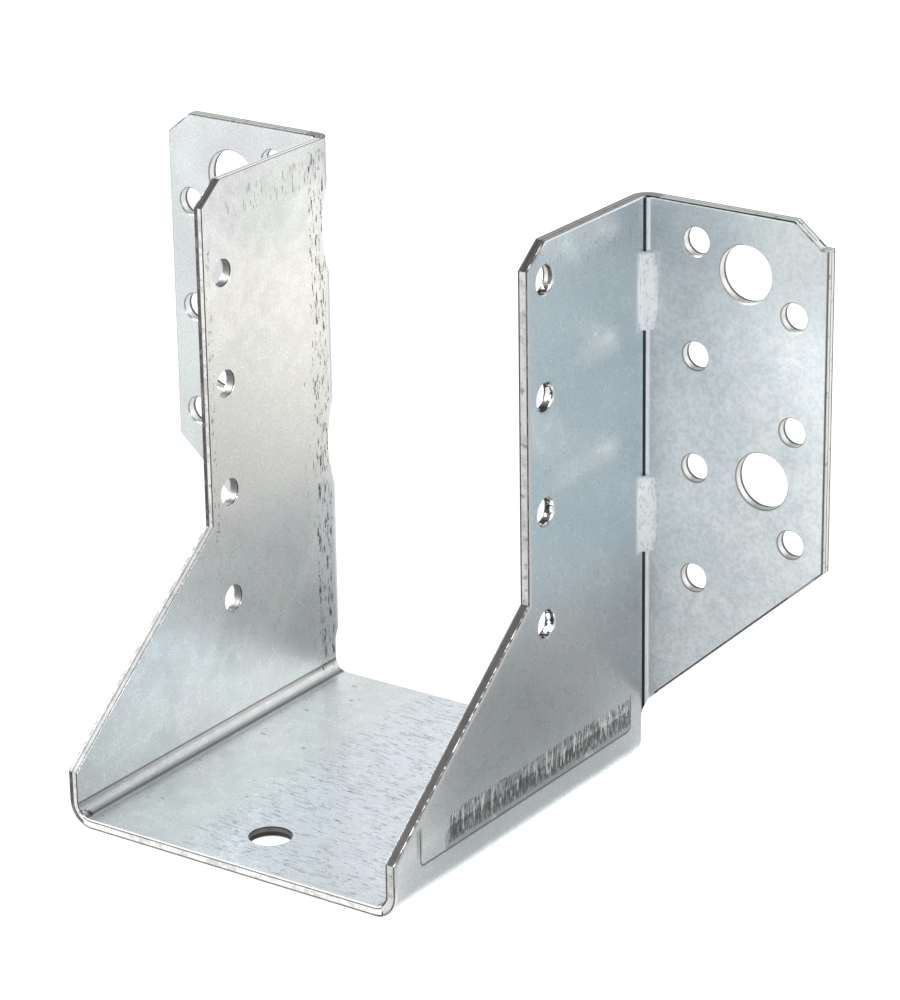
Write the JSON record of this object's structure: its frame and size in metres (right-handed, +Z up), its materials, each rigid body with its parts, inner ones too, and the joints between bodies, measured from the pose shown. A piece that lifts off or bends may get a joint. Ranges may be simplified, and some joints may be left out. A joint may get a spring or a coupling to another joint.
{
  "type": "joist hanger",
  "caption": "Folded sheet-metal joist hanger: a seat between two upright flanks, outward flanges at the back, nail and bolt holes, and pressed beads across the upright folds.",
  "frame": {"origin": "halfway from the header's face to the seat's front edge, on the centre plane, at the seat's underside", "axes": "+X to the right seen from the joist's side, +Y from the joist to the header, +Z up"},
  "size_m": [0.1363, 0.077, 0.103],
  "materials": {
    "galvanised_steel": "hot-dip galvanised, fine mottled grain"
  },
  "bodies": {
    "root": {"joist_hanger": "galvanised_steel"}
  },
  "joints": []
}
